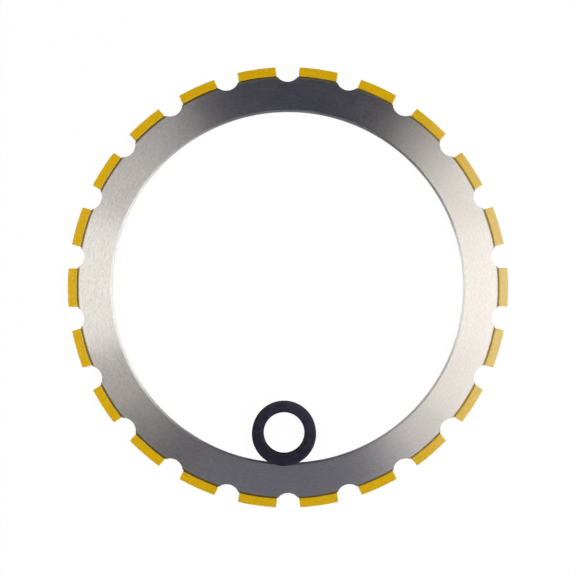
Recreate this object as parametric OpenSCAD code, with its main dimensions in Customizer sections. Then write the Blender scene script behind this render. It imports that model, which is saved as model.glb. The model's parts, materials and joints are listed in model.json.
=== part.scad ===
// Ring saw blade for concrete: an open steel ring that carries diamond segments on its rim
// and is driven at its bevelled inner edge, with the rubber drive ring that runs on that edge.
// Origin: the blade's axis, half way through its thickness. +Z along the axis, +X through segment 1.

/* [Blade] */
// Diameter over the segments
blade_od = 350; // [340:1:430]
// Width of the steel ring along a radius, from the tips of the drive edge to the rim
core_width = 27.9; // [18:0.1:45]
// Thickness of the steel core
core_thickness = 3.2; // [2.4:0.1:4.4]

/* [Drive edge] */
// Width of each bevel, measured along a radius
edge_run = 1.6; // [0.7:0.1:2]
// Width of the flat left between the two bevels
edge_land = 1.6; // [0.8:0.1:2]

/* [Segments] */
// Number of segments, with one slot between each two
segment_count = 22; // [16:1:22]
// Length of a segment along the rim, between its parallel ends
segment_length = 30.6; // [24:0.2:32]
// Height of the painted body of a segment, measured along a radius
segment_height = 7.1; // [5:0.1:10]
// How far a segment stands proud of the core on each side
side_relief = 0.6; // [0.3:0.1:1.2]
// Height of the bare foot that is welded to the rim
foot_height = 0.5; // [0.3:0.1:1.5]
// How far the foot stands back from the painted sides
foot_setback = 0.4; // [0.1:0.1:0.6]

/* [Slots] */
// Depth of a slot below the rim
slot_depth = 3.9; // [1.6:0.1:4.8]
// Diameter of the round bottom of a slot
slot_diameter = 19.8; // [12:0.2:21]

/* [Drive ring] */
// Diameter over the flanges
ring_od = 51; // [44:0.5:70]
// Diameter of the bore's straight part, at the lower face
ring_bore = 32.4; // [20:0.4:38]
// Height of the straight part above the lower face
bore_land = 3.5; // [2:0.1:6]
// How far the bore widens along a radius, from the straight part up to the upper mouth
bore_flare = 1.1; // [0.3:0.1:1.6]
// Thickness across the two flanges
ring_thickness = 14; // [8:0.5:20]
// How far the flanges lap over the faces of the core
ring_lap = 2; // [1:0.1:3]
// Clearance between the groove and the drive edge
seat_clearance = 0.1; // [0.05:0.05:0.5]
// Direction of the drive ring from the blade's axis, in degrees
ring_direction = 268.4; // [180:0.2:360]
// Chamfer at the rims of the flanges
rim_chamfer = 1.7; // [0.3:0.1:2]
// Chamfer at the mouths of the bore
bore_chamfer = 0.9; // [0.3:0.1:1.5]

/* [Hidden] */
$fn = 180;
overcut = 1; // how far a cutting shape runs past what it cuts

pitch = 360 / segment_count;
tip_r = blade_od / 2;
foot_r = tip_r - segment_height;
rim_r = foot_r - foot_height;
bore_r = rim_r - core_width; // radius of the open middle
segment_thickness = core_thickness + 2 * side_relief;
foot_thickness = segment_thickness - 2 * foot_setback;
slot_r = slot_diameter / 2;
slot_centre_r = rim_r - slot_depth + slot_r;

flange_r = ring_od / 2;
ring_centre_r = bore_r + ring_lap - flange_r;
groove_r = bore_r - seat_clearance - ring_centre_r;
edge_slope = (core_thickness - edge_land) / 2 / edge_run;
groove_mouth = edge_land + 2 * (flange_r - groove_r) * edge_slope;

// Name of one segment, counted from 01
function segment_name(i) = str("segment_", i < 10 ? "0" : "", i);

// A half profile, given as [radius, z] points above the mid-plane, mirrored and turned round the axis
module turned(half_profile) {
    last = len(half_profile) - 1;
    below = [for (i = [last:-1:0]) [half_profile[i][0], -half_profile[i][1]]];
    rotate_extrude() polygon(concat(half_profile, below));
}

// Flat steel ring, bevelled at its inner edge
module core_blank() {
    turned([
        [bore_r, edge_land / 2],
        [bore_r + edge_run, core_thickness / 2],
        [rim_r, core_thickness / 2]
    ]);
}

// Round-bottomed slot in the rim, on the +X side
module slot_cut() {
    cut_height = core_thickness + 2 * overcut;
    translate([slot_centre_r, 0, 0]) cylinder(r = slot_r, h = cut_height, center = true);
}

module core() {
    color("#b9b5b2") difference() {
        core_blank();
        for (i = [1:segment_count]) rotate([0, 0, (i - 0.5) * pitch]) slot_cut();
    }
}

// Ring with the section of a segment: the narrow foot on the rim, the painted body outside it
module segment_stock() {
    turned([
        [rim_r, foot_thickness / 2],
        [foot_r, foot_thickness / 2],
        [foot_r, segment_thickness / 2],
        [tip_r, segment_thickness / 2]
    ]);
}

// Slab between the parallel ends of a segment, reaching out from the axis on the +X side
module segment_slab() {
    slab_length = tip_r + overcut;
    slab_height = segment_thickness + 2 * overcut;
    translate([0, -segment_length / 2, -slab_height / 2]) cube([slab_length, segment_length, slab_height]);
}

module segment(i) {
    color("#cb9e0a") rotate([0, 0, (i - 1) * pitch]) intersection() {
        segment_stock();
        segment_slab();
    }
}

// Rubber ring with a V groove that fits the drive edge, and a bore that widens towards its upper face
module drive_ring() {
    bore = ring_bore / 2;
    mouth = bore + bore_flare;
    half = ring_thickness / 2;
    inside = [
        [bore + bore_chamfer, -half],
        [bore, bore_chamfer - half],
        [bore, bore_land - half],
        [mouth, half - bore_chamfer],
        [mouth + bore_chamfer, half]
    ];
    upper_rim = [
        [flange_r - rim_chamfer, half],
        [flange_r, half - rim_chamfer],
        [flange_r, groove_mouth / 2],
        [groove_r, edge_land / 2]
    ];
    lower_rim = [for (i = [3:-1:0]) [upper_rim[i][0], -upper_rim[i][1]]];
    section = concat(inside, upper_rim, lower_rim);
    color("#2e2c37") rotate([0, 0, ring_direction]) translate([ring_centre_r, 0, 0])
        rotate_extrude() polygon(section);
}

core();
for (i = [1:segment_count])
    segment(i);
drive_ring();
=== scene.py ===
import json
import math

import bpy
import numpy as np
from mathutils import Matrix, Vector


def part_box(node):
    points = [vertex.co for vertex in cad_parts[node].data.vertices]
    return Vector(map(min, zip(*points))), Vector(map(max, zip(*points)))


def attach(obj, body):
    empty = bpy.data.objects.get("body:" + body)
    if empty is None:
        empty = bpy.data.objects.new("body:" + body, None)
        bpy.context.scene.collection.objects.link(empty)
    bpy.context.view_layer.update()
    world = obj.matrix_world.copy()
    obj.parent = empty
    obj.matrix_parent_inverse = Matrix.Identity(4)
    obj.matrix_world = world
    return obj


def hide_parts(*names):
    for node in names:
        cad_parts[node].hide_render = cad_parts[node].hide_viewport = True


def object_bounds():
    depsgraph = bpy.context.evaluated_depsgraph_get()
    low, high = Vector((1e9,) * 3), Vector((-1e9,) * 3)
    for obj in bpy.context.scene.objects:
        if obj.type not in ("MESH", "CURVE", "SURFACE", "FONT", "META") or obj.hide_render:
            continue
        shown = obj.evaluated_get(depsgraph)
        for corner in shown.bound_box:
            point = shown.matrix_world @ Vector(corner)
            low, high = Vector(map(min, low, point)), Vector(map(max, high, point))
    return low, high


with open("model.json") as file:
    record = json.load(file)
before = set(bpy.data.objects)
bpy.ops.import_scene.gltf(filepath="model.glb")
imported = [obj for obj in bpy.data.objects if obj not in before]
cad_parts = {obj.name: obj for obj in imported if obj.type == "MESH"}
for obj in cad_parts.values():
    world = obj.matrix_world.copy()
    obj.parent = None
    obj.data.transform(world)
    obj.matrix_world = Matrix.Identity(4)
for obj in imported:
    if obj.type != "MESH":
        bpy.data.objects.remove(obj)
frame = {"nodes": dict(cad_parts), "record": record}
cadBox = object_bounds()
mm = 0.001

coreLow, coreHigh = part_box("core")
segmentLow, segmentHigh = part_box("segment_01")
ringLow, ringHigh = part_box("drive_ring")
mounts = {mount["name"]: mount for mount in frame["record"]["mounts"]}
segmentNames = sorted(name for name in frame["nodes"] if name.startswith("segment_"))

rimRadius = coreHigh.x  # segment_01 sits on the +X axis, so the rim is whole there
coreHalf = coreHigh.z
tipRadius = segmentHigh.x
segmentHalf = segmentHigh.z
segmentHalfLength = segmentHigh.y
segmentPitch = 2 * math.pi / len(segmentNames)
ringCentre = (ringLow + ringHigh) / 2
flangeRadius = (ringHigh.x - ringLow.x) / 2
ringHalf = ringHigh.z
boreRadius = mounts["drive_ring_bore"]["dims"]["r_mm"] * mm
innerRadius = -mounts["drive_edge"]["pos_m"][1] * mounts["drive_edge"]["axis"][1]
print("frame loaded:", len(segmentNames), "segments")


# Meshes

sharpTurn = math.radians(32)  # edges where the surface turns by more than this look sharp


# A mesh from points and quads; its faces are turned round if their signed volume is negative
def addMesh(name, points, quads):
    a, b, c, d = (points[quads[:, i]] for i in range(4))
    volume = np.einsum("ij,ij->", a, np.cross(b, c)) + np.einsum("ij,ij->", a, np.cross(c, d))
    if volume < 0:
        quads = quads[:, ::-1]
    mesh = bpy.data.meshes.new(name)
    mesh.from_pydata(points, [], quads)
    mesh.update()
    mesh.shade_smooth()
    mesh.set_sharp_from_angle(angle=sharpTurn)
    mesh.use_auto_texspace = False  # centred on the blade's axis, so that brushed marks run round it
    mesh.texspace_location = (0, 0, 0)
    mesh.texspace_size = (tipRadius, tipRadius, tipRadius)
    piece = bpy.data.objects.new(name, mesh)
    bpy.context.scene.collection.objects.link(piece)
    return piece


# Quads between the rows and columns of a grid; either way can close on itself
def gridQuads(rows, columns, closeRows, closeColumns):
    index = np.arange(rows * columns).reshape(rows, columns)
    down = np.roll(index, -1, axis=0)
    right = np.roll(index, -1, axis=1)
    across = np.roll(down, -1, axis=1)
    quads = np.stack([index, down, across, right], axis=-1)
    quads = quads[: rows if closeRows else rows - 1, : columns if closeColumns else columns - 1]
    return quads.reshape(-1, 4)


# A ring: each row is a direction round the axis, each column a point of the closed section
def ringSurface(name, angles, radii, heights, centre=(0, 0, 0)):
    x = centre[0] + radii * np.cos(angles)[:, None]
    y = centre[1] + radii * np.sin(angles)[:, None]
    z = centre[2] + np.broadcast_to(heights, radii.shape)
    points = np.stack([x, y, z], axis=-1).reshape(-1, 3)
    return addMesh(name, points, gridQuads(*radii.shape, True, True))


# A parabola from a start to an end that both point at a corner: the three points are weighted by
# (1 - t) squared, 2 t (1 - t) and t squared
def bend(start, corner, end, t):
    return (1 - t) ** 2 * start + 2 * t * (1 - t) * corner + t**2 * end


# Rounds the corner of a section, from one radius before it along a direction to one radius after it
# along another
def roundedCorner(corner, into, out, radius, steps):
    corner, into, out = (np.array(v, float) for v in (corner, into, out))
    t = np.linspace(0, 1, steps + 1)[:, None]
    return bend(corner - into * radius, corner, corner + out * radius, t)


core = {
    "edgeRun": 1.6 * mm,  # width of each bevel of the drive edge
    "edgeLand": 1.6 * mm,  # flat between the two bevels
    "slotDepth": 3.9 * mm,
    "slotRadius": 9.9 * mm,
    "edgeBreak": 0.12 * mm,  # where the sharp edges were taken off
    "slotSteps": 30,  # points along each slot
    "rimSteps": 26,  # points along the rim between two slots
    "faceSteps": 8,  # points across the flat face
}
edgeSlope = (coreHalf - core["edgeLand"] / 2) / core["edgeRun"]  # how fast each bevel rises


# The rim as radius over direction, for one pitch with its slot in the middle, then repeated.
# In the slot it is the near side of the slot's circle, and outside it the rim's own circle.
def coreOutline():
    slotCentre = rimRadius - core["slotDepth"] + core["slotRadius"]
    twoSides = 2 * slotCentre * core["slotRadius"]
    reach = (slotCentre**2 + core["slotRadius"] ** 2 - rimRadius**2) / twoSides
    sweep = np.linspace(-math.acos(reach), math.acos(reach), core["slotSteps"])
    x = slotCentre - core["slotRadius"] * np.cos(sweep)
    y = core["slotRadius"] * np.sin(sweep)
    slotAngles, slotRadii = np.arctan2(y, x), np.hypot(x, y)
    rimAngles = np.linspace(slotAngles[-1], segmentPitch + slotAngles[0], core["rimSteps"] + 2)[1:-1]
    angles = np.concatenate([slotAngles, rimAngles])
    radii = np.concatenate([slotRadii, np.full(core["rimSteps"], rimRadius)])
    slots = (np.arange(len(segmentNames)) + 0.5) * segmentPitch
    return (slots[:, None] + angles).ravel(), np.tile(radii, len(segmentNames))


# The core's section is counted from the drive edge outwards, then from the rim inwards
def makeCore():
    angles, outline = coreOutline()
    soft = core["edgeBreak"]
    land = core["edgeLand"] / 2
    run = core["edgeRun"]
    inner = np.array([  # way in from the tips of the drive edge, and height
        [0, land - soft],
        [0.2 * soft, land - 0.2 * soft],
        [soft, land + soft * edgeSlope],
        [2.5 * soft, land + 2.5 * soft * edgeSlope],
        [run - 2.5 * soft, coreHalf - 2.5 * soft * edgeSlope],
        [run - soft, coreHalf - soft * edgeSlope],
        [run, coreHalf - 0.15 * soft * edgeSlope],
        [run + soft, coreHalf],
        [run + 4 * soft, coreHalf],
    ])
    outer = np.array([  # way in from the rim, and height
        [5 * soft, coreHalf],
        [soft, coreHalf],
        [0.3 * soft, coreHalf - 0.3 * soft],
        [0, coreHalf - soft],
    ])
    fromInside = innerRadius + np.broadcast_to(inner[:, 0], (len(angles), len(inner)))
    fromRim = outline[:, None] - outer[:, 0]
    share = np.linspace(0, 1, core["faceSteps"])[1:-1]
    between = fromInside[:, -1:] * (1 - share) + fromRim[:, :1] * share
    half = np.concatenate([fromInside, between, fromRim], axis=1)
    heights = np.concatenate([inner[:, 1], np.full(len(share), coreHalf), outer[:, 1]])
    radii = np.concatenate([half, half[:, ::-1]], axis=1)
    return ringSurface("steelCore", angles, radii, np.concatenate([heights, -heights[::-1]]))


segment = {
    "bodyHeight": 7.1 * mm,
    "footThickness": 3.6 * mm,
    "corner": 0.35 * mm,  # rounding of the pressed body's edges
    "footCorner": 0.2 * mm,
    "halfLengthSteps": 12,  # points from the middle to where the ends are rounded
    "flatSteps": 5,  # points across the painted face
    "cornerSteps": 4,
}


# Half of a segment's section, from the weld out to the tip, as radius and height
def segmentSection():
    footRadius = tipRadius - segment["bodyHeight"]
    footHalf = segment["footThickness"] / 2
    steps = segment["cornerSteps"]
    foot = roundedCorner((rimRadius, footHalf), (0, 1), (1, 0), segment["footCorner"], steps)
    shoulder = roundedCorner((footRadius, segmentHalf), (0, 1), (1, 0), segment["corner"], steps)
    flat = np.linspace(
        footRadius + 2 * segment["corner"], tipRadius - 2 * segment["corner"], segment["flatSteps"],
    )
    flat = np.stack([flat, np.full(len(flat), segmentHalf)], axis=-1)
    tip = roundedCorner((tipRadius, segmentHalf), (1, 0), (0, -1), segment["corner"], steps)
    inset = np.array([[footRadius, footHalf]])
    return np.concatenate([foot, inset, shoulder, flat, tip])


# A bar whose section runs along y between its parallel ends. Each point keeps its distance from the
# blade's axis: x is the root of radius squared less y squared. Near the ends the section is drawn in
# on a quarter circle, away from its outside, but not at the weld.
def makeSegment(name, direction):
    section = segmentSection()
    middle = np.array([(rimRadius + tipRadius) / 2, 0])
    corner = segment["corner"]
    turn = np.linspace(0, math.pi / 2, segment["cornerSteps"] + 1)
    along = np.linspace(0, segmentHalfLength - 2 * corner, segment["halfLengthSteps"])
    lengths = np.concatenate([along, segmentHalfLength - corner + corner * np.sin(turn)])
    drawn = np.concatenate([np.zeros(len(along)), corner * (1 - np.cos(turn))])
    lengths = np.concatenate([-lengths[:0:-1], lengths])
    drawn = np.concatenate([drawn[:0:-1], drawn])
    towards = np.sign(section - middle) * np.minimum(1, np.abs(section - middle) / corner)
    footShare = np.clip((section[:, 0] - rimRadius) / corner, 0, 1)
    towards[:, 0] = np.where(section[:, 0] < middle[0], 0, towards[:, 0])
    towards[:, 1] *= footShare
    half = section[None] - drawn[:, None, None] * towards[None]
    full = np.concatenate([half, half[:, ::-1] * (1, -1)], axis=1)
    y = np.broadcast_to(lengths[:, None], full.shape[:2])
    x = np.sqrt(full[..., 0] ** 2 - y**2)
    cos, sin = math.cos(direction), math.sin(direction)
    points = np.stack([x * cos - y * sin, x * sin + y * cos, full[..., 1]], axis=-1)
    rows, columns = full.shape[:2]
    sides = gridQuads(rows, columns, False, True)
    count = len(section)
    top = np.arange(count - 1)
    cap = np.stack([top, top + 1, columns - 2 - top, columns - 1 - top], axis=-1)
    last = cap[:, ::-1] + (rows - 1) * columns
    return addMesh(name, points.reshape(-1, 3), np.concatenate([sides, cap, last]))


driveRing = {
    "rimChamfer": 1.7 * mm,
    "boreChamfer": 0.9 * mm,
    "boreLand": 3.5 * mm,  # height of the bore's straight part
    "boreFlare": 1.1 * mm,  # how much wider it is at the upper mouth
    "grooveDepth": 2.1 * mm,
    "grooveRoot": 1.6 * mm,  # width at the bottom of the groove
    "soften": 0.3 * mm,  # moulded rubber has no sharp corner
    "cornerSteps": 6,
    "steps": 192,
}


# Corners of a section joined by straight stretches, each corner replaced by a short curve
def softenedSection(corners, soft, steps):
    corners = np.array(corners, float)
    before = np.roll(corners, 1, axis=0) - corners
    after = np.roll(corners, -1, axis=0) - corners
    before /= np.linalg.norm(before, axis=1)[:, None]
    after /= np.linalg.norm(after, axis=1)[:, None]
    t = np.linspace(0, 1, steps)[None, :, None]
    start, end = corners + before * soft, corners + after * soft
    return bend(start[:, None], corners[:, None], end[:, None], t).reshape(-1, 2)


# The section is turned round the ring's own axis: its bore, then the upper rim, the groove and the
# lower rim
def makeDriveRing():
    root = flangeRadius - driveRing["grooveDepth"]
    mouth = driveRing["grooveRoot"] / 2 + driveRing["grooveDepth"] * edgeSlope
    mouthRadius = boreRadius + driveRing["boreFlare"]
    inside = [
        (boreRadius + driveRing["boreChamfer"], -ringHalf),
        (boreRadius, driveRing["boreChamfer"] - ringHalf),
        (boreRadius, driveRing["boreLand"] - ringHalf),
        (mouthRadius, ringHalf - driveRing["boreChamfer"]),
        (mouthRadius + driveRing["boreChamfer"], ringHalf),
    ]
    upperRim = [
        (flangeRadius - driveRing["rimChamfer"], ringHalf),
        (flangeRadius, ringHalf - driveRing["rimChamfer"]),
        (flangeRadius, mouth),
        (root, driveRing["grooveRoot"] / 2),
    ]
    corners = inside + upperRim + [(r, -z) for r, z in reversed(upperRim)]
    section = softenedSection(corners, driveRing["soften"], driveRing["cornerSteps"])
    angles = np.arange(driveRing["steps"]) * 2 * math.pi / driveRing["steps"]
    radii = np.tile(section[:, 0], (len(angles), 1))
    return ringSurface("rubberDriveRing", angles, radii, section[:, 1], ringCentre)


# Shaders

# A socket's value: sums and products of values add the Math nodes that work them out
class Value:
    def __init__(self, tree, socket):
        self.tree = tree
        self.socket = socket

    def maths(self, operation, *others, clamp=False):
        sockets = dict(enumerate((self, *others)))
        return self.tree.node("ShaderNodeMath", {"operation": operation, "use_clamp": clamp}, sockets)[0]

    def __add__(self, other):
        return self.maths("ADD", other)

    def __sub__(self, other):
        return self.maths("SUBTRACT", other)

    def __mul__(self, other):
        return self.maths("MULTIPLY", other)

    def __truediv__(self, other):
        return self.maths("DIVIDE", other)

    def __rsub__(self, other):
        return (self * -1).maths("ADD", other)

    __radd__ = __add__
    __rmul__ = __mul__


# One node's outputs, by name or number
class Outputs:
    def __init__(self, tree, node):
        self.tree = tree
        self.node = node

    def __getitem__(self, key):
        return Value(self.tree, self.node.outputs[key])


# The node tree of a material or of the world, emptied
class Tree:
    def __init__(self, owner):
        owner.use_nodes = True
        self.nodes = owner.node_tree.nodes
        self.links = owner.node_tree.links
        self.nodes.clear()

    # Adds a node of this type: its settings first, then the values or links of its sockets
    def node(self, kind, settings=None, sockets=None):
        added = self.nodes.new(kind)
        for key, value in (settings or {}).items():
            setattr(added, key, value)
        for key, value in (sockets or {}).items():
            if isinstance(value, Value):
                self.links.new(value.socket, added.inputs[key])
            else:
                added.inputs[key].default_value = value
        return Outputs(self, added)

    # Object coordinates: metres from the blade's axis and mid-plane
    def objectPlace(self):
        return self.node("ShaderNodeTexCoord")["Object"]

    # Noise round 0.5, with this many cells to each unit of the vector
    def noise(self, vector, scale, detail, roughness):
        sockets = {"Vector": vector, "Scale": scale, "Detail": detail, "Roughness": roughness}
        return self.node("ShaderNodeTexNoise", {}, sockets)["Fac"]

    def mix(self, factor, a, b, blend="MIX"):
        settings = {"data_type": "RGBA", "blend_type": blend, "clamp_factor": True}
        return self.node("ShaderNodeMix", settings, {0: factor, 6: a, 7: b})[2]

    # A smooth step from one value to another while the first value goes from low to high
    def steps(self, value, low, high, to=(0, 1)):
        sockets = {"Value": value, "From Min": low, "From Max": high, "To Min": to[0], "To Max": to[1]}
        return self.node("ShaderNodeMapRange", {"interpolation_type": "SMOOTHSTEP"}, sockets)["Result"]

    # Distance from a vertical axis, the cosine and sine of the direction from it, and the height
    def polar(self, centre=(0, 0)):
        sockets = {"Vector": self.objectPlace(), "Location": (-centre[0], -centre[1], 0)}
        place = self.node("ShaderNodeMapping", {}, sockets)["Vector"]
        parts = self.node("ShaderNodeSeparateXYZ", {}, {0: place})
        x, y, z = parts[0], parts[1], parts[2]
        radius = (x * x + y * y).maths("SQRT")
        return radius, x / radius, y / radius, z

    # A place for noise whose cells are long round the axis and narrow across it, and narrow in height
    # too, so that marks don't run straight down the side faces
    def grain(self, radius, cosine, sine, height, length, width):
        turns = rimRadius / length
        across = (radius + height * 0.7) / width
        sockets = {0: cosine * turns, 1: sine * turns, 2: across}
        return self.node("ShaderNodeCombineXYZ", {}, sockets)["Vector"]

    def bump(self, height, distance):
        return self.node("ShaderNodeBump", {}, {"Height": height, "Distance": distance})[0]

    def finish(self, sockets):
        surface = self.node("ShaderNodeBsdfPrincipled", {}, sockets)[0]
        self.node("ShaderNodeOutputMaterial", {}, {"Surface": surface})


def colour(r, g, b):
    return (r, g, b, 1)


towardsX = (0, 0.6)  # cosine of the direction where the +X side begins, and where it is in full

steelLook = {
    "pale": colour(0.75, 0.74, 0.71),
    "deep": colour(0.595, 0.585, 0.57),
    "toneRange": (0.38, 0.62),  # noise up to which it is deep, and from which it is pale
    "heatTint": colour(0.245, 0.18, 0.062),
    "heatMetal": 0.63,
    "oxideGloss": 0.0,  # the oxide dulls the metal
    "heatWidth": 1.5 * mm,  # from the weld to where the tint ends
    "heatFull": 0.75 * mm,  # from the weld to where it is darkest
    "heatRetreat": 0.3 * mm,  # how much narrower it is on the +X side
    "grainRagged": 0.5 * mm,  # how far the grain moves the tint's end
    "nickRagged": 0.6 * mm,  # and how far the nicks move it
    "groundEdge": colour(0.605, 0.625, 0.615),  # the bevels of the drive edge
    "groundBlend": 0.15 * mm,
    "cutEdge": colour(0.4, 0.385, 0.37),  # the cut faces at the rim and in the slots
    "cutDepth": (0.2 * mm, 0.1 * mm),  # cut from the first below the flat face, not above the second
    "cutBand": (1 * mm, 0.5 * mm),  # how far inside the slots' floors the cut faces begin
    "cutShare": (0.55, 0.5),  # the least of that tone, and how much more the grain adds
    "cutRoughness": 0.5,
    "roughness": (0.322, 0.473),
    "polishRange": (0.37, 0.63),
    "anisotropy": 1.0,
    "brushTurn": 0.25,  # a quarter turn: the marks run round the axis, so light spreads across them
    "grainLength": 3.2 * mm,
    "grainWidth": 0.72 * mm,
    "markLength": 16 * mm,
    "markWidth": 0.6 * mm,
    "cloudScale": 28,  # cells in a metre
    "nickScale": 700,
    "pitScale": 1100,
    "relief": 0.008 * mm,
}


def steelMaterial():
    material = bpy.data.materials.new("brushedSteel")
    tree = Tree(material)
    place = tree.objectPlace()
    radius, cosine, sine, height = tree.polar()
    grains = tree.grain(radius, cosine, sine, height, steelLook["grainLength"], steelLook["grainWidth"])
    marks = tree.grain(radius, cosine, sine, height, steelLook["markLength"], steelLook["markWidth"])
    grain = tree.noise(grains, 1, 3, 0.65)
    mark = tree.noise(marks, 1, 3, 0.6)
    cloud = tree.noise(place, steelLook["cloudScale"], 3, 0.55)
    pit = tree.noise(place, steelLook["pitScale"], 2, 0.5)
    nick = tree.noise(place, steelLook["nickScale"], 2, 0.5)
    tone = grain * 0.66 + mark * 0.28 + cloud * 0.06
    base = tree.mix(tree.steps(tone, *steelLook["toneRange"]), steelLook["deep"], steelLook["pale"])
    polish = grain * 0.6 + mark * 0.25 + cloud * 0.15
    polish = tree.steps(polish, *steelLook["polishRange"], steelLook["roughness"])

    # Tinted by the heat of the weld
    ragged = radius + (grain - 0.5) * steelLook["grainRagged"] + (nick - 0.5) * steelLook["nickRagged"]
    ragged = ragged - tree.steps(cosine, *towardsX) * steelLook["heatRetreat"]
    heat = tree.steps(ragged, rimRadius - steelLook["heatWidth"], rimRadius - steelLook["heatFull"])
    base = tree.mix(heat, base, steelLook["heatTint"])

    # Ground on the bevels
    bevelEnd = innerRadius + core["edgeRun"]
    ground = 1 - tree.steps(radius, bevelEnd - steelLook["groundBlend"], bevelEnd)
    base = tree.mix(ground, base, steelLook["groundEdge"])

    # Cut at the rim and in the slots: below the flat faces, and outside the slots' floors
    slotFloor = rimRadius - core["slotDepth"]
    away = height.maths("ABSOLUTE")
    below = 1 - tree.steps(away, *(coreHalf - depth for depth in steelLook["cutDepth"]))
    cut = below * tree.steps(radius, *(slotFloor - width for width in steelLook["cutBand"]))
    least, grainy = steelLook["cutShare"]
    base = tree.mix(cut * (least + grain * grainy), base, steelLook["cutEdge"])
    tree.finish({
        "Base Color": base,
        "Metallic": 1 - heat * (1 - steelLook["heatMetal"]),
        "Roughness": polish + cut * (steelLook["cutRoughness"] - steelLook["roughness"][1]),
        "Specular IOR Level": steelLook["oxideGloss"],
        "Anisotropic": steelLook["anisotropy"],
        "Anisotropic Rotation": steelLook["brushTurn"],
        "Normal": tree.bump(grain * 0.7 + mark * 0.3 + pit * 1.2, steelLook["relief"]),
    })
    return material


paintLook = {
    "yellow": colour(0.94, 0.565, 0.0006),
    "thin": colour(0.95, 0.6, 0.006),
    "thinRange": (0.45, 0.68),  # noise up to which it isn't thin, and from which it is
    "thick": colour(0.86, 0.86, 0.6),  # what is left of the tone where the coat is thickest
    "thickRange": (0.4, 0.6),
    "worn": colour(0.75, 0.765, 0.9),  # what is left of the tone where the painted shade is in full, on the +X side
    # the pale colour painted on the scratches as a highlight
    "stroke": colour(0.88, 0.72, 0.3),
    "strokeShare": 0.3,
    "strokeRange": (0.57, 0.68),
    "strokeRoughness": 0.3,
    "scratchedSide": (-0.8, -1.0),  # cosine of the direction where the scratches and their painted highlight begin, and are in full
    "dusty": colour(0.72, 0.5, 0.02),
    "dustShare": 0.6,
    "dustEdge": (0.1 * mm, 1.1 * mm),  # from the paint line to where the dust thins out, and ends
    "paintLine": tipRadius - segment["bodyHeight"] + 0.05 * mm,
    "paintEdge": (0.15 * mm, 0.1 * mm),  # how soft the paint's end is, inside the line and outside it
    "paintOverlap": 0.2 * mm,  # how far it runs on to the foot on the +X side
    "patchRagged": 0.7 * mm,  # how far the patches move the paint's end
    "gritRagged": 0.4 * mm,  # and how far the grit moves it
    "weld": colour(0.225, 0.155, 0.025),
    "sooty": colour(0.12, 0.08, 0.012),  # the weld darkened on the -X side: painted shade
    "sootySide": (0.4, -0.4),  # cosine of the direction where it begins, and where it is in full
    "weldMetal": 0.58,
    "weldRoughness": 0.28,  # how much rougher than the paint
    "glint": (0.78, 0.98, 1, 1),
    "roughness": (0.115, 0.14),
    "polishRange": (0.35, 0.65),
    "sheen": 0.031,  # how much smoother the coat is off the +X side
    "sheenSide": (0.75, 0.35),  # the same of the sheen
    "anisotropy": 1.0,
    "refraction": 2.02,
    "streakLength": 9 * mm,
    "streakWidth": 0.8 * mm,
    "strokeLength": 4.5 * mm,
    "strokeWidth": 0.8 * mm,
    "patchScale": 160,  # cells in a metre
    "blotchScale": 520,
    "gritScale": 2600,
    "relief": 0.01 * mm,
}


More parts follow.
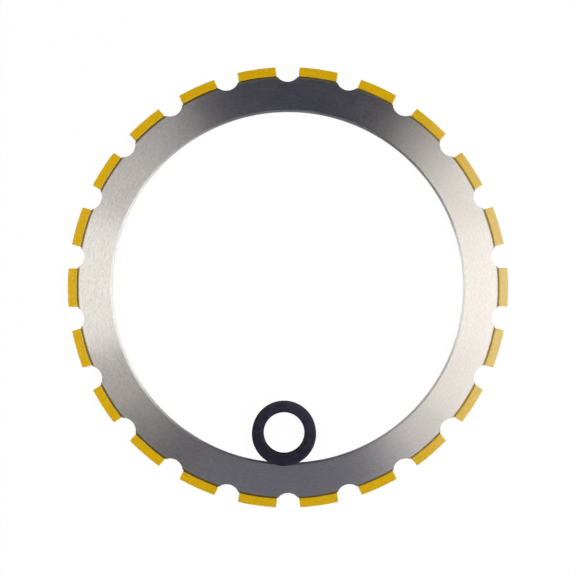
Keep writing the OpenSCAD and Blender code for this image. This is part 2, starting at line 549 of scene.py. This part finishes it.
def paintMaterial():
    material = bpy.data.materials.new("yellowPaint")
    tree = Tree(material)
    place = tree.objectPlace()
    radius, cosine, sine, height = tree.polar()
    streaks = tree.grain(radius, cosine, sine, height, paintLook["streakLength"], paintLook["streakWidth"])
    strokes = tree.grain(radius, cosine, sine, height, paintLook["strokeLength"], paintLook["strokeWidth"])
    streak = tree.noise(streaks, 1, 3, 0.6)
    stroke = tree.noise(strokes, 1, 2, 0.5)
    patch = tree.noise(place, paintLook["patchScale"], 3, 0.6)
    blotch = tree.noise(place, paintLook["blotchScale"], 3, 0.65)
    grit = tree.noise(place, paintLook["gritScale"], 2, 0.6)

    # The coat, thin in streaks and thick in blotches
    thin = tree.steps(streak * 0.6 + patch * 0.4, *paintLook["thinRange"])
    base = tree.mix(thin, paintLook["yellow"], paintLook["thin"])
    thick = tree.steps(blotch * 0.6 + stroke * 0.4, *paintLook["thickRange"])
    base = tree.mix(thick, base, tree.mix(1.0, base, paintLook["thick"], "MULTIPLY"))
    gloss = tree.steps(streak, *paintLook["polishRange"], paintLook["roughness"])
    gloss = gloss - tree.steps(cosine, *paintLook["sheenSide"]) * paintLook["sheen"]

    # Its ragged end at the foot, with dust along it
    line = paintLook["paintLine"]
    ragged = radius + (patch - 0.5) * paintLook["patchRagged"] + (grit - 0.5) * paintLook["gritRagged"]
    ragged = ragged + tree.steps(cosine, *towardsX) * paintLook["paintOverlap"]
    painted = tree.steps(ragged, line - paintLook["paintEdge"][0], line + paintLook["paintEdge"][1])
    bare = 1 - painted
    dust = 1 - tree.steps(ragged, line + paintLook["dustEdge"][0], line + paintLook["dustEdge"][1])
    base = tree.mix(dust * paintLook["dustShare"], base, paintLook["dusty"])

    # Scratches on the -X side: rougher there, and painted pale as a highlight
    strokesAndPaintedHighlight = tree.steps(stroke + (patch - 0.5) * 0.3, *paintLook["strokeRange"])
    strokesAndPaintedHighlight = strokesAndPaintedHighlight * tree.steps(cosine, *paintLook["scratchedSide"])
    base = tree.mix(strokesAndPaintedHighlight * paintLook["strokeShare"], base, paintLook["stroke"])
    gloss = gloss + strokesAndPaintedHighlight * (paintLook["strokeRoughness"] - paintLook["roughness"][1])

    # Painted shade by direction: the tone is darkened little at -X, by two thirds of the full amount at the
    # top and bottom, in full at +X, and a little more on the -Y side
    paintedShade = 0.05 + tree.steps(cosine, -1.15, -0.1) * 0.6 + tree.steps(cosine, 0.7, 1.0) * 0.36
    paintedShade = paintedShade - sine * 0.07
    base = tree.mix(paintedShade, base, tree.mix(1.0, base, paintLook["worn"], "MULTIPLY"))
    # The weld is darker towards -X: painted shade
    weld = tree.mix(tree.steps(cosine, *paintLook["sootySide"]), paintLook["weld"], paintLook["sooty"])
    tree.finish({
        "Base Color": tree.mix(painted, weld, base),
        "Metallic": bare * paintLook["weldMetal"],
        "Roughness": gloss + bare * paintLook["weldRoughness"],
        "Anisotropic": paintLook["anisotropy"],
        "Anisotropic Rotation": steelLook["brushTurn"],
        "IOR": paintLook["refraction"],
        "Specular Tint": paintLook["glint"],
        "Normal": tree.bump(grit * 0.5 + streak * 0.5, paintLook["relief"]),
    })
    return material


rubberLook = {
    "black": colour(0.0195, 0.0185, 0.032),
    # a paler bloom on the rubber, at random, laid more towards +X and +Y as painted light
    "bloom": colour(0.0325, 0.031, 0.047),
    "bloomRange": (0.35, 0.7),
    # the lighter tone of the painted highlight on the flange's chamfer
    "worn": colour(0.06, 0.058, 0.07),
    "rimWear": 0.25,
    "rimBand": (2.4 * mm, 1.2 * mm),  # from the flange's edge to where the painted highlight begins, and is in full
    "wall": colour(0.004, 0.0035, 0.006),  # painted shade: the lower bore wall is made black
    "wallMetal": 0.95,
    "wallBlend": 0.3 * mm,
    "wallHeights": (-2 * mm, 1.5 * mm),  # black up to the first, and no more from the second on
    "roughness": (0.68, 0.8),
    "polishRange": (0.3, 0.7),
    "gloss": 0.08,
    "glint": (0.1, 0.1, 0.1, 1),
    "cloudScale": 180,  # cells in a metre
    "poreScale": 3200,
    "relief": 0.03 * mm,
}


def rubberMaterial():
    material = bpy.data.materials.new("blackRubber")
    tree = Tree(material)
    place = tree.objectPlace()
    radius, cosine, sine, height = tree.polar(ringCentre)
    cloud = tree.noise(place, rubberLook["cloudScale"], 4, 0.6)
    pores = tree.noise(place, rubberLook["poreScale"], 3, 0.6)
    # Bloom at random, with more of it towards +X and +Y: painted light on that side
    bloom = tree.steps(cloud + (cosine + sine) * 0.1, *rubberLook["bloomRange"])
    base = tree.mix(bloom, rubberLook["black"], rubberLook["bloom"])
    # The flange's chamfer is painted lighter: a painted highlight
    rim = tree.steps(radius, *(flangeRadius - width for width in rubberLook["rimBand"]))
    base = tree.mix(rim * rubberLook["rimWear"], base, rubberLook["worn"])
    # The lower part of the bore wall is painted black and made metallic, so that it shows little light:
    # painted shade
    mouth = boreRadius + driveRing["boreFlare"]
    wall = 1 - tree.steps(radius, mouth, mouth + rubberLook["wallBlend"])
    wall = wall * (1 - tree.steps(height, *rubberLook["wallHeights"]))
    polish = tree.steps(pores * 0.5 + cloud * 0.5, *rubberLook["polishRange"], rubberLook["roughness"])
    tree.finish({
        "Base Color": tree.mix(wall, base, rubberLook["wall"]),
        "Roughness": polish,
        "Metallic": wall * rubberLook["wallMetal"],
        "Specular Tint": rubberLook["glint"],
        "Specular IOR Level": rubberLook["gloss"],
        "Normal": tree.bump(pores, rubberLook["relief"]),
    })
    return material


# Hands a finished piece over, in the place of its node
def addPiece(piece, material, node):
    piece.data.materials.append(material)
    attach(piece, "root")
    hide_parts(node)


addPiece(makeCore(), steelMaterial(), "core")
print("core made")
paint = paintMaterial()
for number, name in enumerate(segmentNames):
    made = makeSegment(name.replace("segment_", "diamondSegment"), number * segmentPitch)
    addPiece(made, paint, name)
print("segments made")
addPiece(makeDriveRing(), rubberMaterial(), "drive_ring")
print("drive ring made")


# Stage, light and camera

stage = {
    "floorSize": 24,  # metres
    "floorShade": colour(0.8, 0.8, 0.8),  # in diffuse light alone
    "shadowShare": 0.03,  # how much of the floor's white is lit, and so can be shaded
    "ownWhite": 0.972,  # the rest, seen by the camera and in reflections alone
}


# A white floor at the lowest point of the part
def makeFloor():
    size = stage["floorSize"] / 2
    level = cadBox[0].z
    corners = [(-size, -size, level), (size, -size, level), (size, size, level), (-size, size, level)]
    mesh = bpy.data.meshes.new("floor")
    mesh.from_pydata(corners, [], [(0, 1, 2, 3)])
    floor = bpy.data.objects.new("floor", mesh)
    bpy.context.scene.collection.objects.link(floor)
    material = bpy.data.materials.new("paleFloor")
    tree = Tree(material)
    path = tree.node("ShaderNodeLightPath")
    seen = path["Is Camera Ray"] + path["Is Glossy Ray"]
    seen = seen.maths("ADD", path["Is Transmission Ray"], clamp=True)
    share = stage["shadowShare"]
    lit = tree.node("ShaderNodeBsdfDiffuse", {}, {"Color": stage["floorShade"]})[0]
    shaded = tree.node("ShaderNodeBsdfDiffuse", {}, {"Color": colour(share, share, share)})[0]
    glow = tree.node("ShaderNodeEmission", {}, {"Color": colour(1, 1, 1), "Strength": stage["ownWhite"]})[0]
    white = tree.node("ShaderNodeAddShader", {}, {0: shaded, 1: glow})[0]
    surface = tree.node("ShaderNodeMixShader", {}, {0: seen, 1: lit, 2: white})[0]
    tree.node("ShaderNodeOutputMaterial", {}, {"Surface": surface})
    mesh.materials.append(material)


# Degrees, metres and watts
softboxes = {
    "rightSoftbox": {
        "direction": -2, "elevation": 52.4, "distance": 1.1,
        "length": 1.28, "height": 0.84, "power": 12.15, "colour": (1, 0.945, 0.887),
    },
    "leftSoftbox": {
        "direction": 178.8, "elevation": 44.6, "distance": 1.1,
        "length": 0.55, "height": 0.16, "power": 3.05, "colour": (1, 0.985, 0.935),
    },
    "leftWing": {
        "direction": 139, "elevation": 48.6, "distance": 1.1,
        "length": 0.54, "height": 0.36, "power": 0.87, "colour": (1, 0.97, 0.95),
    },
    "nearCard": {
        "direction": 277, "elevation": 46.4, "distance": 0.62,
        "length": 0.65, "height": 0.22, "power": 0.5, "colour": (0.884, 0.873, 1),
    },
}


# Each lamp faces the blade's middle: its length lies level, its height leans back with the elevation
def makeSoftboxes():
    for name, values in softboxes.items():
        lamp = bpy.data.lights.new(name, "AREA")
        lamp.shape = "RECTANGLE"
        lamp.size = values["height"]
        lamp.size_y = values["length"]
        lamp.energy = values["power"]
        lamp.color = values["colour"]
        holder = bpy.data.objects.new(name, lamp)
        lean = math.radians(90 - values["elevation"])
        turn = math.radians(values["direction"])
        level = values["distance"] * math.sin(lean)
        height = values["distance"] * math.cos(lean)
        holder.location = (level * math.cos(turn), level * math.sin(turn), height)
        holder.rotation_euler = (0, lean, turn)
        bpy.context.scene.collection.objects.link(holder)


room = {
    "overhead": colour(0.011, 0.0125, 0.034),
    "horizon": colour(1, 1, 1),
    "horizonEnd": (0.02, 0.16),  # sine of the elevation where the white begins to end, and has ended
}


# White all round at the level of the blade, almost dark above it, and plain white to the camera
def makeRoom():
    world = bpy.data.worlds.new("room")
    bpy.context.scene.world = world
    tree = Tree(world)
    direction = tree.node("ShaderNodeTexCoord")["Generated"]
    up = tree.node("ShaderNodeSeparateXYZ", {}, {0: direction})[2]
    sky = tree.mix(tree.steps(up, *room["horizonEnd"]), room["horizon"], room["overhead"])
    seen = tree.node("ShaderNodeLightPath")["Is Camera Ray"]
    sky = tree.mix(seen, sky, room["horizon"])
    background = tree.node("ShaderNodeBackground", {}, {"Color": sky, "Strength": 1.0})[0]
    tree.node("ShaderNodeOutputWorld", {}, {"Surface": background})


photo = {
    "side": 576,  # pixels, as are the next two and the middle
    "bladeCentre": (287.42, 286.9),
    "tipRadius": 220.35,
    "middle": 287.5,  # the photograph's optical axis
    "turned": 0.07,  # degrees, anticlockwise
    "distance": 1.04,  # metres from the camera to the blade's mid-plane
    "sensor": 36,  # mm
}


# Straight above: the lens makes the tip circle as wide as in the photograph, and the camera stands
# aside by as much as the blade is off the middle
def makeCamera():
    pixelsAtOne = photo["tipRadius"] * (photo["distance"] - segmentHalf) / tipRadius
    pixel = photo["distance"] / pixelsAtOne
    camera = bpy.data.cameras.new("camera")
    camera.sensor_width = photo["sensor"]
    camera.lens = pixelsAtOne / photo["side"] * photo["sensor"]
    holder = bpy.data.objects.new("camera", camera)
    x, y = photo["bladeCentre"]
    holder.location = ((photo["middle"] - x) * pixel, (y - photo["middle"]) * pixel, photo["distance"])
    holder.rotation_euler.z = -math.radians(photo["turned"])
    bpy.context.scene.collection.objects.link(holder)
    bpy.context.scene.camera = holder


makeFloor()
makeSoftboxes()
makeRoom()
makeCamera()
bpy.context.scene.view_settings.view_transform = "Standard"
print("stage, light and camera set")
